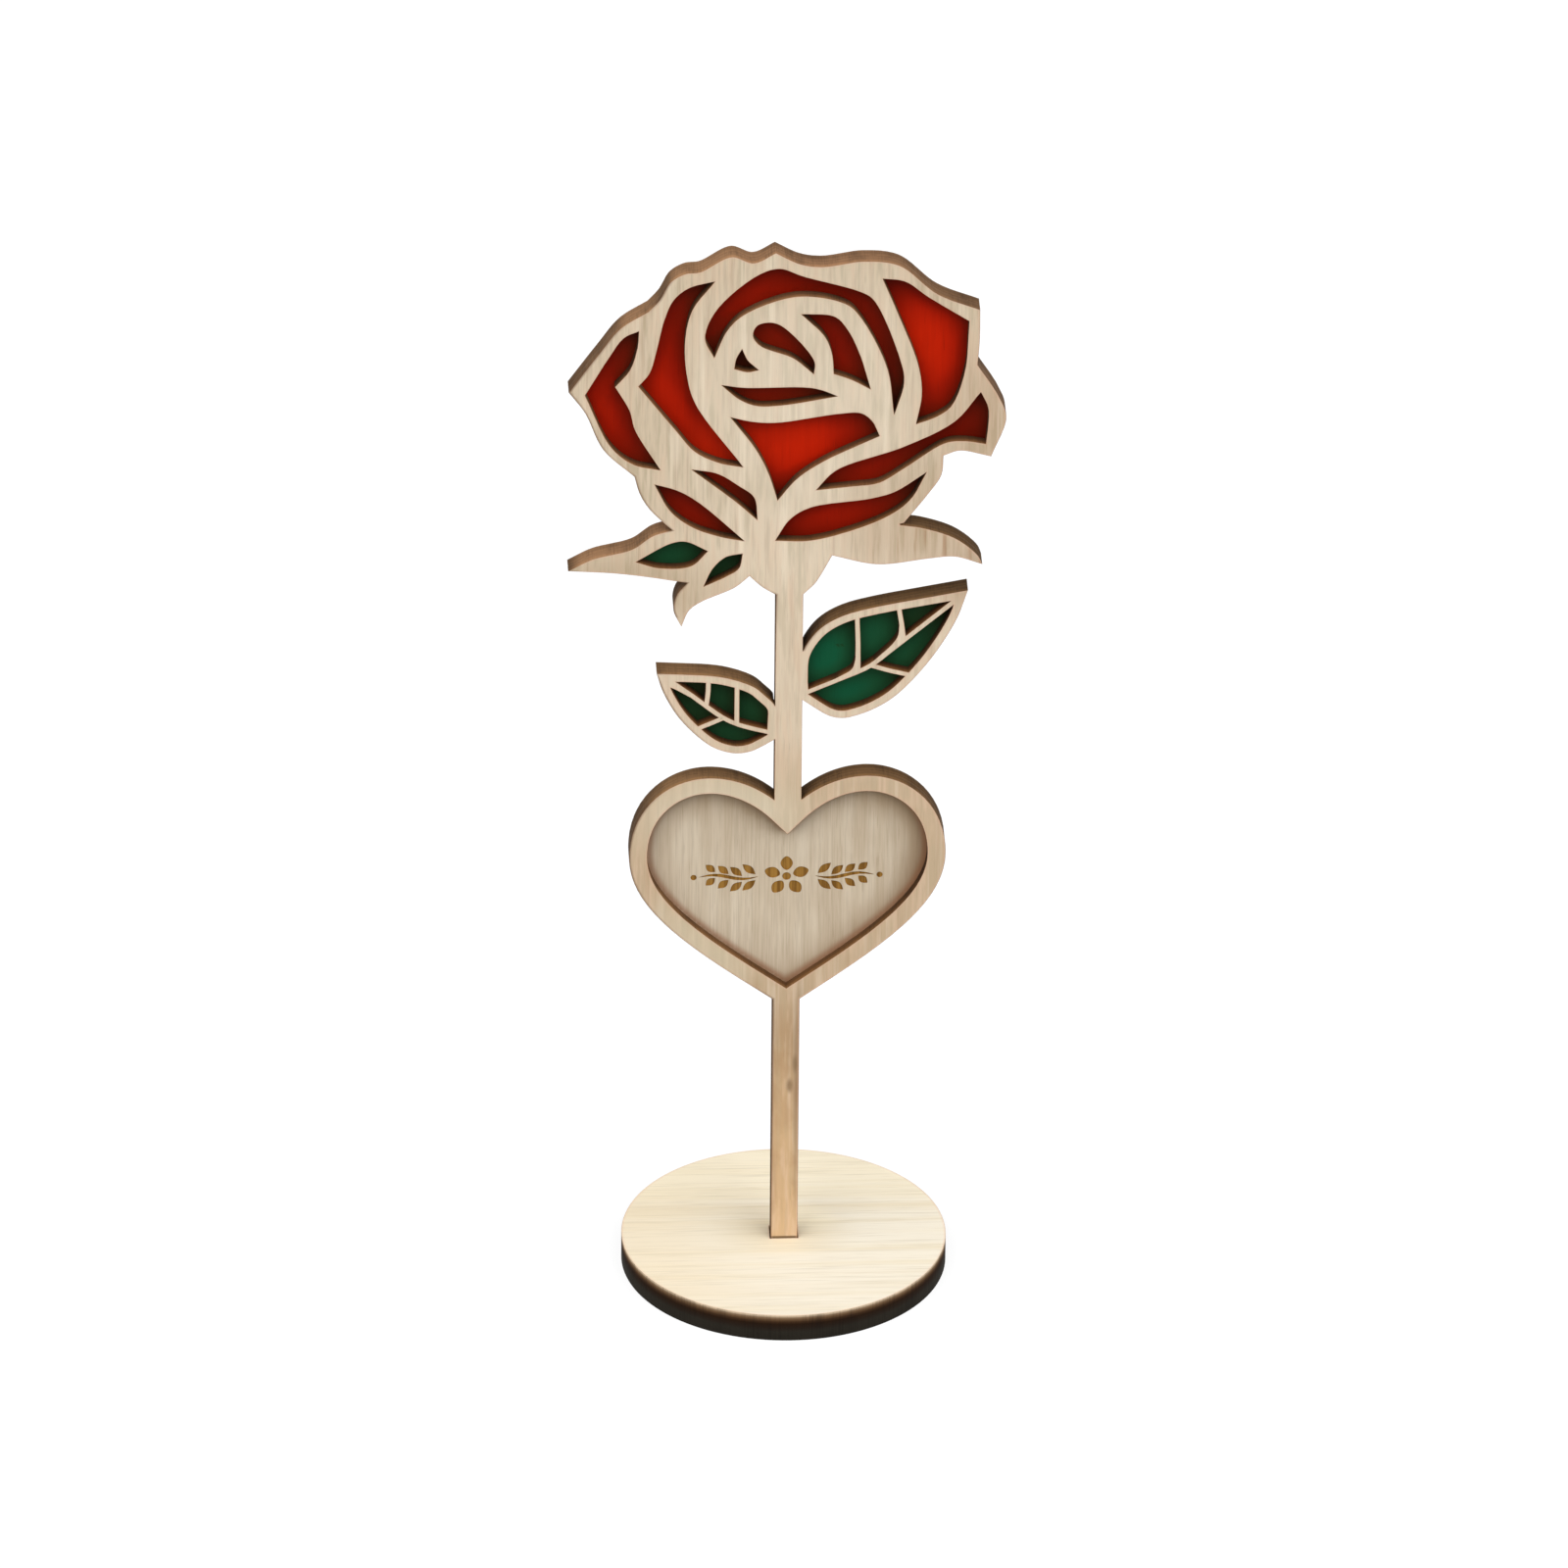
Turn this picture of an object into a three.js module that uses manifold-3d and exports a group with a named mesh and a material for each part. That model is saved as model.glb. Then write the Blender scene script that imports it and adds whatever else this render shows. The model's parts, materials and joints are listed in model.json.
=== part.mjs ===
// Wooden rose figurine: a fretwork flower of two glued boards that plugs into a slotted round foot.
// Millimetres, +Z up. The flower faces -Y, and the origin is the middle of the foot's underside.

import * as THREE from "three";
import { mergeVertices } from "three/addons/utils/BufferGeometryUtils.js";
import Module from "manifold-3d";

const wasm = await Module();
wasm.setup();

// Boards: the front one is fretwork, the back one is an inlay of coloured pieces
const FRONT_BOARD = 3.2;
const BACK_BOARD = 3.2;
const GLUE_LINE = 0.1;
const INLAY_SEAM = 0.3;

// Foot and the plug joint
const FOOT_DIAMETER = 90;
const FOOT_THICKNESS = 8;
const SLOT_CLEARANCE = 0.2;
const TENON_LIFT = 0.4;

// Stem, with the steps up it from the foot's top face to the calyx
const STEM_WIDTH = 7.4;
const HEART_ABOVE_FOOT = 74;
const LEFT_LEAF_ABOVE_HEART = 11.7;
const RIGHT_LEAF_ABOVE_LEFT = 12.5;
const CALYX_ABOVE_RIGHT_LEAF = 33;
const STEM_SIDE = STEM_WIDTH / 2;

// Rose head with its calyx
const ROSE_WIDTH = 119;
const ROSE_HEIGHT = 106;

// Heart round the stem
const HEART_WIDTH = 87;
const HEART_HEIGHT = 73.3;
const HEART_FRAME = 5;

// Leaves
const LEFT_LEAF_LENGTH = 32.5;
const RIGHT_LEAF_LENGTH = 45;
const LEAF_RIM = 2.4;
const VEIN_WIDTH = 1.4;

// Faceting: how far a facet may stray from its curve, and the points tried for each knot
const FACET = 0.03;
const SAMPLES = 24;
const FOOT_SIDES = 120;

// Heights above the table, each one standing on the one before
const FOOT_TOP = FOOT_THICKNESS;
const HEART_TIP = FOOT_TOP + HEART_ABOVE_FOOT;
const LEFT_LEAF_ROOT = HEART_TIP + HEART_HEIGHT + LEFT_LEAF_ABOVE_HEART;
const RIGHT_LEAF_ROOT = LEFT_LEAF_ROOT + RIGHT_LEAF_ABOVE_LEFT;
const ROSE_FOOT = RIGHT_LEAF_ROOT + CALYX_ABOVE_RIGHT_LEAF;

// Depths: the two boards meet at the flower's middle plane
const FRONT_FACE = -(FRONT_BOARD + GLUE_LINE / 2);
const BACK_FACE = BACK_BOARD + GLUE_LINE / 2;

// Drawings. An outline is a list of stretches. A stretch is a smooth curve through its [x, z] points,
// and it ends at the first point of the next stretch, where the outline has a corner.

// The rose is drawn about the stem's axis, with its calyx standing on z = 0
const HEAD = [
  [[-60.5, 64], [-52.5, 75.5], [-46.5, 83.5]],
  [[-39, 88.5], [-36, 92], [-33, 97.5], [-29, 100], [-25, 100.5], [-16.5, 105], [-10.5, 103]],
  [[-4.5, 106], [2, 102.5], [8, 101.5], [19.5, 103], [29, 101.5], [39.5, 92.5]],
  [[51, 87.5], [51, 78.5]],
  [[50.5, 70.5], [56.5, 60.5], [58.5, 54]],
  [[54.5, 42], [46, 44]],
  [[41.5, 42.5], [41, 36.5], [37, 30]],
  [[31, 21.8], [10, 16.5], [-2, 15], [-20, 17]],
  [[-32, 20.5], [-34.5, 23], [-38.5, 27.5], [-41, 32]],
  [[-42.5, 37.5], [-51, 46], [-56, 57.5]],
];
const CALYX = [
  [[-60.5, 8.5], [-54, 12], [-43, 15], [-37.5, 19], [-33, 20.5]],
  [[-20, 24]],
  [[28, 25]],
  [[30, 21.2], [36, 20.2], [45, 16.8], [51.3, 11.3]],
  [[52.5, 8.5], [45, 11], [37.5, 10.5], [24, 9]],
  [[11.5, 12], [9.5, 8], [7, 3.5]],
  [[STEM_SIDE, 0]],
  [[-STEM_SIDE, 0], [-7.5, 2.5]],
  [[-11, 6], [-15, 2.5], [-24.5, -2], [-27.5, -4.5]],
  [[-29.5, -9.5], [-31.7, -4.2], [-30.9, 0.4]],
  [[-28, 4.2], [-37.5, 6], [-47.5, 7.5]],
];
const PETAL_OPENINGS = [
  // Outer left petal
  [[[-41.5, 82.5], [-45.5, 80.5], [-49.5, 74.5]], [[-56, 63], [-49, 47], [-43, 41.5]],
    [[-35.5, 39.5], [-42.5, 52], [-44, 58]], [[-48, 65.5], [-44, 70.5], [-42, 77]]],
  // Large left petal
  [[[-21, 97.5], [-28, 95.5], [-32, 92], [-34.5, 86], [-36.5, 77], [-38.5, 69.5]],
    [[-41.5, 65.5], [-31.5, 52], [-26, 45], [-19.5, 41.5]],
    [[-13, 40], [-26, 59.5], [-28.5, 68.5], [-29, 80], [-27, 89]]],
  // Crescent over the bud
  [[[-21, 74], [-23.5, 80], [-20.5, 88.5], [-9.5, 99], [-3.5, 101], [3, 98.5], [18.5, 93.5], [22, 91],
    [29.5, 72], [30.5, 65.5]],
    [[28, 55.5], [26, 70], [18.5, 86], [14.5, 90], [1.5, 92.5], [-12.5, 87.5], [-17.5, 82.5]]],
  // Large right petal
  [[[24.5, 97.5], [30.5, 96.5], [37, 91.5]], [[48, 84], [47, 68.5], [43.5, 58], [40, 55]],
    [[34, 52.5], [35.5, 61.5], [34.5, 70.5], [28.5, 87.5]]],
  // Bud, inner right petal
  [[[2.5, 87], [11.5, 86], [15, 82], [18.5, 74]], [[21.5, 63.5], [16.5, 66.5]],
    [[11.5, 68.5], [11, 74.5], [9, 80]]],
  // Bud, middle drop
  [[[6, 68.5], [6, 72.5], [-3, 83.5], [-6.5, 84.5], [-9.5, 83.5], [-10.5, 80.5], [-8.5, 77.5], [0.5, 73.5]]],
  // Bud, small triangle
  [[[-13.5, 76.5], [-12, 73]], [[-9, 70], [-12, 69.5]], [[-15.5, 70.5], [-15, 73.5]]],
  // Bud, lower sliver
  [[[-19, 65.5], [-13, 64.5], [6, 64]], [[12.5, 61.5], [-3, 59], [-9.5, 59], [-14, 61]]],
  // Front petal
  [[[-16.5, 55.5], [-11, 54], [-4, 53.5], [13.5, 56], [19, 56], [22, 53.5]], [[24, 49], [9, 41.5], [1.5, 36]],
    [[-3.5, 29.5], [-6, 38], [-9.5, 45.5]]],
  // Right petal with a rolled tip
  [[[7, 32.5], [12.5, 38.5], [31, 45.5], [44.5, 53]], [[51.5, 62], [53.5, 57], [53.5, 51.5]],
    [[53, 46], [47.5, 47], [42, 46.5], [31, 39], [24, 34.5], [16.5, 33.5]]],
  // Lower right petal
  [[[-4, 17], [0, 23.5], [5.5, 27], [22, 29.5], [28.5, 31.5]], [[37, 37.5], [32.5, 29], [25.5, 23.5], [6.5, 17]]],
  // Lower left petal, and the narrow one above it
  [[[-37, 35], [-31, 33], [-25.5, 29.5]], [[-12.5, 17], [-19, 18.5], [-26.5, 21.5], [-32.5, 26.5]]],
  [[[-27, 39.5], [-20, 38], [-14, 34], [-10, 30.5]], [[-9, 23.5], [-14.5, 29]]],
];
const SEPAL_OPENINGS = [
  [[[-42, 11], [-32.5, 16.5], [-28.5, 17]], [[-22.5, 14], [-27, 9.5], [-35.5, 9]]],
  [[[-23.5, 3], [-21, 8.5], [-17.5, 12]], [[-13, 13], [-14, 8.5], [-17.5, 6]]],
];

// A leaf is drawn outwards from the stem's edge. Its root starts near z = 0 and runs up a little inside the
// stem. The veins are the midrib, the side veins, and webs where two of them run together.
const LEFT_LEAF = {
  blade: [
    [[-0.2, 0.3], [-0.3, 5], [-0.1, 10.4], [3.1, 14.3], [6.1, 16.9], [14.5, 20]],
    [[32.5, 21.5], [30.8, 15.8], [26.2, 7.2], [19, -0.6], [15, -3], [10.5, -4.1], [6.5, -3.5], [3.3, -1.9]],
  ],
  veins: [
    [[30, 20], [23, 14.5], [15, 7.8], [10.5, 5.2], [-1, 1.7]],
    [[18.4, 22], [18.4, 15.5], [18.9, 11]],
    [[10.5, 20], [10.5, 5]],
    [[14.5, 7], [17.5, 5.6], [22.5, 3.4]],
    [[30.5, 18.6], [27, 16.9], [23, 14.4]],
  ],
};
const RIGHT_LEAF = {
  blade: [
    [[-0.6, 0.4], [-0.9, 7], [-0.4, 14], [2.4, 19.6], [5.8, 23.2], [11, 26.2], [17.5, 28.2]],
    [[45, 33.5], [41.8, 24], [34.3, 11], [25.5, 0.7], [19.8, -3.2], [15, -5.2], [11.4, -6], [7.6, -5.3]],
  ],
  veins: [
    [[-1, 1.3], [10, 6.2], [18, 10], [24.5, 15.4], [34, 23.7], [43.5, 32]],
    [[15.2, 8.5], [15.1, 17.5], [14.7, 29]],
    [[27.6, 18.5], [27, 23], [25.6, 32]],
    [[19, 10.3], [24.5, 8.5], [32.5, 6.5]],
    [[15.1, 15], [15, 12], [13.9, 8.9], [9.5, 6]],
    [[27, 23], [26.6, 19.4], [25, 16.6], [20, 11.5]],
  ],
};

// The heart is drawn about the stem's axis with its tip on z = 0. Each curve of its right half has two
// handles and an end: from the notch over the lobe, round the shoulder and down the side to the tip.
const HEART_NOTCH = [0, 62.4];
const HEART_HALF = [
  [[4.5, 67.5], [12, 73.3], [21.7, 73.3]],
  [[32.5, 73.3], [43.5, 64.5], [43.5, 48.5]],
  [[43.5, 31], [24, 17.5], [0, 0]],
];

// Keeps only the points of a line that its shape needs
function thin(points) {
  const first = points[0];
  const last = points.at(-1);
  const along = last.clone().sub(first);
  const span = along.length();
  const strays = points.map((point) => {
    const from = point.clone().sub(first);
    return span > FACET ? Math.abs(along.cross(from)) / span : from.length();
  });
  const far = strays.indexOf(Math.max(...strays));
  if (strays[far] <= FACET) return [first, last];
  return [...thin(points.slice(0, far + 1)), ...thin(points.slice(far)).slice(1)];
}

// Smooth line through drawn points, moved to its place on the board
function smoothLine(knots, place) {
  const points = knots.map((knot) => new THREE.Vector3(...place(knot), 0));
  const curve = new THREE.CatmullRomCurve3(points, false, "centripetal");
  return thin(curve.getPoints(SAMPLES * knots.length).map(({ x, y }) => new THREE.Vector2(x, y)));
}

function closedOutline(stretches, place) {
  return stretches.flatMap((knots, i) => {
    const corner = stretches[(i + 1) % stretches.length][0];
    return smoothLine([...knots, corner], place).slice(0, -1);
  });
}

// Shifts a line sideways, to the right of its own direction, with mitred corners
function shifted(points, distance, closed) {
  const count = points.length;
  const normal = (from, to) => new THREE.Vector2(to.y - from.y, from.x - to.x).normalize();
  return points.map((point, i) => {
    const before = closed || i > 0 ? normal(points[(i + count - 1) % count], point) : null;
    const after = closed || i < count - 1 ? normal(point, points[(i + 1) % count]) : null;
    const [a, b] = [before ?? after, after ?? before];
    return a.clone().add(b).multiplyScalar(distance / (1 + a.dot(b))).add(point);
  });
}

function distanceTo(outline, point) {
  const gaps = outline.map((from, i) => {
    const to = outline[(i + 1) % outline.length];
    const edge = to.clone().sub(from);
    const share = THREE.MathUtils.clamp(point.clone().sub(from).dot(edge) / edge.lengthSq(), 0, 1);
    return from.clone().addScaledVector(edge, share).distanceTo(point);
  });
  return Math.min(...gaps);
}

// Outline grown outwards by a distance, or drawn in by a negative one. Points that a tight bend throws
// back towards the outline are dropped.
function grown(outline, distance) {
  const outwards = THREE.ShapeUtils.isClockWise(outline) ? -distance : distance;
  const reach = Math.abs(distance) - FACET;
  return shifted(outline, outwards, true).filter((point) => distanceTo(outline, point) >= reach);
}

function ribbon(line, width) {
  return [...shifted(line, width / 2, false), ...shifted(line, -width / 2, false).reverse()];
}

function rectangle(left, bottom, right, top) {
  const corners = [[left, bottom], [right, bottom], [right, top], [left, top]];
  return corners.map(([x, z]) => new THREE.Vector2(x, z));
}

// Closed meshes become solids that can be joined and cut
function solidOf(geometry) {
  geometry.deleteAttribute("normal");
  geometry.deleteAttribute("uv");
  const merged = mergeVertices(geometry);
  const vertProperties = new Float32Array(merged.attributes.position.array);
  const triVerts = new Uint32Array(merged.index.array);
  return new wasm.Manifold(new wasm.Mesh({ numProp: 3, vertProperties, triVerts }));
}

function geometryOf(solid) {
  const { vertProperties, triVerts } = solid.getMesh();
  const geometry = new THREE.BufferGeometry();
  geometry.setAttribute("position", new THREE.BufferAttribute(vertProperties, 3));
  geometry.setIndex(new THREE.BufferAttribute(triVerts, 1));
  const faceted = geometry.toNonIndexed();
  faceted.computeVertexNormals();
  return faceted;
}

// Upright board of a given outline between two depths
function board(outline, near, far) {
  const settings = { depth: far - near, bevelEnabled: false };
  const geometry = new THREE.ExtrudeGeometry(new THREE.Shape(outline), settings);
  geometry.rotateX(Math.PI / 2);
  geometry.translate(0, far, 0);
  return solidOf(geometry);
}

const frontBoard = (outline) => board(outline, FRONT_FACE, -GLUE_LINE / 2);
const backBoard = (outline) => board(outline, GLUE_LINE / 2, BACK_FACE);
const frontCut = (outline) => board(outline, FRONT_FACE - FRONT_BOARD, 0);
const backCut = (outline) => board(outline, 0, BACK_FACE + BACK_BOARD);

// Places for the drawings
const headX = HEAD.flat().map(([x]) => x);
const headZ = HEAD.flat().map(([, z]) => z);
const roseScaleX = ROSE_WIDTH / (Math.max(...headX) - Math.min(...headX));
const roseScaleZ = ROSE_HEIGHT / Math.max(...headZ);
const onRose = ([x, z]) => [x * roseScaleX, ROSE_FOOT + z * roseScaleZ];

function leafPlace(drawing, length, root, side) {
  const scale = length / Math.max(...drawing.blade.flat().map(([x]) => x));
  return ([x, z]) => [side * (STEM_SIDE + x * scale), root + z * scale];
}

const heartEnds = HEART_HALF.map((curve) => curve.at(-1));
const heartScaleX = HEART_WIDTH / 2 / Math.max(...heartEnds.map(([x]) => x));
const heartScaleZ = HEART_HEIGHT / Math.max(...heartEnds.map(([, z]) => z));
const onHeart = ([x, z]) => [x * heartScaleX, HEART_TIP + z * heartScaleZ];

function heartOutline() {
  const half = new THREE.Path();
  half.moveTo(...onHeart(HEART_NOTCH));
  for (const curve of HEART_HALF) half.bezierCurveTo(...curve.flatMap(onHeart));
  const right = half.curves.flatMap((curve) => thin(curve.getPoints(2 * SAMPLES)).slice(0, -1));
  const left = right.slice(1).reverse().map(({ x, y }) => new THREE.Vector2(-x, y));
  return [...right, new THREE.Vector2(0, HEART_TIP), ...left];
}

// Outlines of the flower's parts on their boards
const head = closedOutline(HEAD, onRose);
const calyx = closedOutline(CALYX, onRose);
const heart = heartOutline();
const leftPlace = leafPlace(LEFT_LEAF, LEFT_LEAF_LENGTH, LEFT_LEAF_ROOT, -1);
const rightPlace = leafPlace(RIGHT_LEAF, RIGHT_LEAF_LENGTH, RIGHT_LEAF_ROOT, 1);
const leaves = [
  leafOutlines("left_leaf_backing", LEFT_LEAF, leftPlace),
  leafOutlines("right_leaf_backing", RIGHT_LEAF, rightPlace),
];

function leafOutlines(name, drawing, place) {
  const blade = closedOutline(drawing.blade, place);
  const veins = drawing.veins.map((vein) => ribbon(smoothLine(vein, place), VEIN_WIDTH));
  return { name, blade, veins };
}

function stem(bottom, top) {
  return rectangle(-STEM_SIDE, bottom, STEM_SIDE, top);
}

// Front board: the whole flower in one piece, then every opening is sawn out. The stem runs on a little
// inside the calyx.
function frontFretwork() {
  let flower = frontBoard(head).add(frontBoard(calyx)).add(frontBoard(heart));
  flower = flower.add(frontBoard(stem(TENON_LIFT, ROSE_FOOT + STEM_WIDTH)));
  for (const { blade, veins } of leaves) {
    const inside = frontCut(grown(blade, -LEAF_RIM));
    const cells = veins.reduce((left, vein) => left.subtract(frontCut(vein)), inside);
    flower = flower.add(frontBoard(blade)).subtract(cells);
  }
  const openings = [...PETAL_OPENINGS, ...SEPAL_OPENINGS].map((opening) => closedOutline(opening, onRose));
  openings.push(grown(heart, -HEART_FRAME));
  return openings.reduce((left, opening) => left.subtract(frontCut(opening)), flower);
}

// Back board: an inlay of pieces that butt against each other with a fine seam
const withSeam = (outline) => backCut(grown(outline, INLAY_SEAM));

function calyxBacking() {
  return backBoard(calyx).subtract(withSeam(head));
}

function upperStemBacking() {
  const [, notchHeight] = onHeart(HEART_NOTCH);
  return backBoard(stem(notchHeight, ROSE_FOOT - INLAY_SEAM)).subtract(withSeam(heart));
}

function lowerStemBacking() {
  return backBoard(stem(TENON_LIFT, HEART_TIP + STEM_WIDTH)).subtract(withSeam(heart));
}

function leafBacking(blade) {
  return backBoard(blade).subtract(withSeam(stem(FOOT_TOP, ROSE_FOOT)));
}

// Foot: a disc with a slot right through it for the stem's two-board tenon
function footDisc() {
  const radius = FOOT_DIAMETER / 2;
  const disc = new THREE.CylinderGeometry(radius, radius, FOOT_THICKNESS, FOOT_SIDES);
  disc.rotateX(Math.PI / 2);
  disc.translate(0, 0, FOOT_THICKNESS / 2);
  const slotWidth = STEM_WIDTH + 2 * SLOT_CLEARANCE;
  const slotDepth = BACK_FACE - FRONT_FACE + 2 * SLOT_CLEARANCE;
  const slot = new THREE.BoxGeometry(slotWidth, slotDepth, 2 * FOOT_THICKNESS);
  slot.translate(0, (FRONT_FACE + BACK_FACE) / 2, FOOT_THICKNESS / 2);
  return solidOf(disc).subtract(solidOf(slot));
}

// Finishes
const PALE_VENEER = { color: 0xdac8ae, roughness: 0.7, metalness: 0 };
const SHADED_VENEER = { color: 0xc9b69e, roughness: 0.7, metalness: 0 };
const WARM_VENEER = { color: 0xcfa878, roughness: 0.7, metalness: 0 };
const CREAM_VENEER = { color: 0xf4ead2, roughness: 0.65, metalness: 0 };
const ROSE_RED = { color: 0xab1e0a, roughness: 0.55, metalness: 0 };
const LEAF_GREEN = { color: 0x0f4a30, roughness: 0.55, metalness: 0 };

function piece(name, solid, finish) {
  const mesh = new THREE.Mesh(geometryOf(solid), new THREE.MeshStandardMaterial(finish));
  mesh.name = name;
  return mesh;
}

const flower = new THREE.Group();
flower.name = "flower";
flower.add(piece("front_fretwork", frontFretwork(), PALE_VENEER));
flower.add(piece("rose_backing", backBoard(head), ROSE_RED));
flower.add(piece("calyx_backing", calyxBacking(), LEAF_GREEN));
flower.add(piece("upper_stem_backing", upperStemBacking(), PALE_VENEER));
for (const { name, blade } of leaves) flower.add(piece(name, leafBacking(blade), LEAF_GREEN));
flower.add(piece("heart_plate", backBoard(heart), SHADED_VENEER));
flower.add(piece("lower_stem_backing", lowerStemBacking(), WARM_VENEER));

const figurine = new THREE.Group();
figurine.name = "rose_figurine";
figurine.add(piece("foot_disc", footDisc(), CREAM_VENEER));
figurine.add(flower);

export default figurine;
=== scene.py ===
# %% [markdown]
# # A fretwork rose on a round foot
# The figurine is sawn from thin plywood by a laser. A fretwork flower lies in front, coloured boards lie
# behind it, and the stem plugs into a slot in a round foot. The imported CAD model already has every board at
# its real size and place, so this lesson dresses it: cut rims, char, veneer, stain and an engraving.
# All lengths in Blender are metres.

# %% Load the boards
import json
import math

import bmesh
import bpy
from mathutils import Matrix, Vector
from mathutils.bvhtree import BVHTree

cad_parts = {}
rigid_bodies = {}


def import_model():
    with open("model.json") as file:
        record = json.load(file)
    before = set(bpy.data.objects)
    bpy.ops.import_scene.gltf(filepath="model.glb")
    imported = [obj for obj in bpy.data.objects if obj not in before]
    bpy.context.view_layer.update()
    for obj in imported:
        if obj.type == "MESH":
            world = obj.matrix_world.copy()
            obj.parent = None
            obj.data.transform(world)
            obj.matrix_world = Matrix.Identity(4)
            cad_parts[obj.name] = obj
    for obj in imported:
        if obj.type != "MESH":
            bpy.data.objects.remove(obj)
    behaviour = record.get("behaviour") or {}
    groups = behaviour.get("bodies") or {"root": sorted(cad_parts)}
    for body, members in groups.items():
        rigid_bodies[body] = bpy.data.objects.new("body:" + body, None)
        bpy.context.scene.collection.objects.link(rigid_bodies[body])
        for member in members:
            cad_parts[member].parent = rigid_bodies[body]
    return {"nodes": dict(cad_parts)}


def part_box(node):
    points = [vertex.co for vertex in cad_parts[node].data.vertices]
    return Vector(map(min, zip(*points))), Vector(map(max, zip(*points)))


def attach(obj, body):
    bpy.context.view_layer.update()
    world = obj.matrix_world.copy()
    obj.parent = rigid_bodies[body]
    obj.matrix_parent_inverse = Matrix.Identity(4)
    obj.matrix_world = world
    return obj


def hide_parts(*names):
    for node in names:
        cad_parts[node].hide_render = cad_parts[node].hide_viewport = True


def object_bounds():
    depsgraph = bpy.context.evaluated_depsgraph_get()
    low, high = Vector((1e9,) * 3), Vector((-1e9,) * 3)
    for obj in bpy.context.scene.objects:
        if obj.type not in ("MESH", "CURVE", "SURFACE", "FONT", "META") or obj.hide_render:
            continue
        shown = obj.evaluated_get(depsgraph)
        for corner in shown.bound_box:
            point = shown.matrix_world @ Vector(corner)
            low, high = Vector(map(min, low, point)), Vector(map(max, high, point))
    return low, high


for leftover in list(bpy.data.objects):
    bpy.data.objects.remove(leftover)
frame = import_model()
cad_low, cad_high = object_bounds()
MM = 0.001
print("boards:", ", ".join(sorted(frame["nodes"])))
print("size in mm:", [round(side / MM, 1) for side in cad_high - cad_low])

# %% [markdown]
# ## The camera
# The photograph looks down on the flower by about thirty degrees with a long lens, so that upright lines
# stay upright. A camera can be placed by hand, or worked out from one known point and its place in the
# picture. The second way is used here: the point on the stem's axis at the heart's height has to land on one
# pixel.

# %% Place the camera
IMAGE_SIDE = 1600
SENSOR = 36
AZIMUTH = math.radians(-3)
ELEVATION = math.radians(29.8)
ROLL = math.radians(0.5)
DISTANCE = 6
PIXELS_PER_METRE = 3722.7
AIM = Vector((0, 0, 155.5 * MM))
AIM_PIXEL_X = 803.6
AIM_PIXEL_Y = 786

to_camera = Vector((
    math.sin(AZIMUTH) * math.cos(ELEVATION),
    -math.cos(AZIMUTH) * math.cos(ELEVATION),
    math.sin(ELEVATION),
))
level = Vector((math.cos(AZIMUTH), math.sin(AZIMUTH), 0))
upright = to_camera.cross(level)
picture_right = level * math.cos(ROLL) + upright * math.sin(ROLL)
picture_up = upright * math.cos(ROLL) - level * math.sin(ROLL)
shift_right = (IMAGE_SIDE / 2 - AIM_PIXEL_X) / PIXELS_PER_METRE
shift_up = (AIM_PIXEL_Y - IMAGE_SIDE / 2) / PIXELS_PER_METRE
eye = AIM + picture_right * shift_right + picture_up * shift_up + to_camera * DISTANCE

lens = bpy.data.cameras.new("long_lens")
lens.sensor_width = SENSOR
lens.lens = SENSOR * PIXELS_PER_METRE * DISTANCE / IMAGE_SIDE
camera = bpy.data.objects.new("camera", lens)
turned = Matrix((picture_right, picture_up, to_camera)).transposed()
camera.matrix_world = Matrix.Translation(eye) @ turned.to_4x4()
bpy.context.collection.objects.link(camera)
bpy.context.scene.camera = camera
print("lens in mm:", round(lens.lens, 1))

# %% [markdown]
# ## Shader maths as Python
# A material is a graph of nodes. Drawing it by hand is fine for a few nodes, but wood takes many. This small
# class holds one output socket, and sums on it add Math nodes, so that a mask can be written as
# `1 - 0.5 * fibre`. Every other node comes from its one method, `node`.

# %% A socket that does sums
class Wire:
    def __init__(self, tree, socket=None):
        self.tree = tree
        self.socket = socket

    def node(self, kind, out=0, settings=None, sockets=None):
        """Adds a node: first its settings, then the values or wires of its sockets."""
        added = self.tree.nodes.new("ShaderNode" + kind)
        for name, value in (settings or {}).items():
            if name == "stops":
                set_stops(added.color_ramp, value)
            else:
                setattr(added, name, value)
        for name, value in (sockets or {}).items():
            if isinstance(value, Wire):
                self.tree.links.new(value.socket, added.inputs[name])
            else:
                added.inputs[name].default_value = value
        return Wire(self.tree, added.outputs[out] if added.outputs else None)

    def sum(self, operation, first, second):
        return self.node("Math", settings={"operation": operation}, sockets={0: first, 1: second})

    def __add__(self, other):
        return self.sum("ADD", self, other)

    def __sub__(self, other):
        return self.sum("SUBTRACT", self, other)

    def __rsub__(self, other):
        return self.sum("SUBTRACT", other, self)

    def __mul__(self, other):
        return self.sum("MULTIPLY", self, other)

    def __truediv__(self, other):
        return self.sum("DIVIDE", self, other)

    __radd__ = __add__
    __rmul__ = __mul__


def set_stops(ramp, stops):
    while len(ramp.elements) < len(stops):
        ramp.elements.new(1)
    for element, (position, colour) in zip(ramp.elements, stops):
        element.position = position
        element.color = colour


# %% Colours
def tone(red, green, blue):
    """Colour picked on the usual 0 to 255 scale, made linear by the sRGB curve, as shaders expect it."""
    shares = [value / 255 for value in (red, green, blue)]
    return (*[share / 12.92 if share < 0.04 else ((share + 0.055) / 1.055) ** 2.4 for share in shares], 1)


def blended(first, second, share):
    settings = {"data_type": "RGBA"}
    return share.node("Mix", out=2, settings=settings, sockets={0: share, 6: first, 7: second})


def ramped(value, stops):
    """Colours over a number from 0 to 1. `stops` holds pairs of number and colour."""
    return value.node("ValToRGB", settings={"stops": stops}, sockets={"Fac": value})


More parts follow.
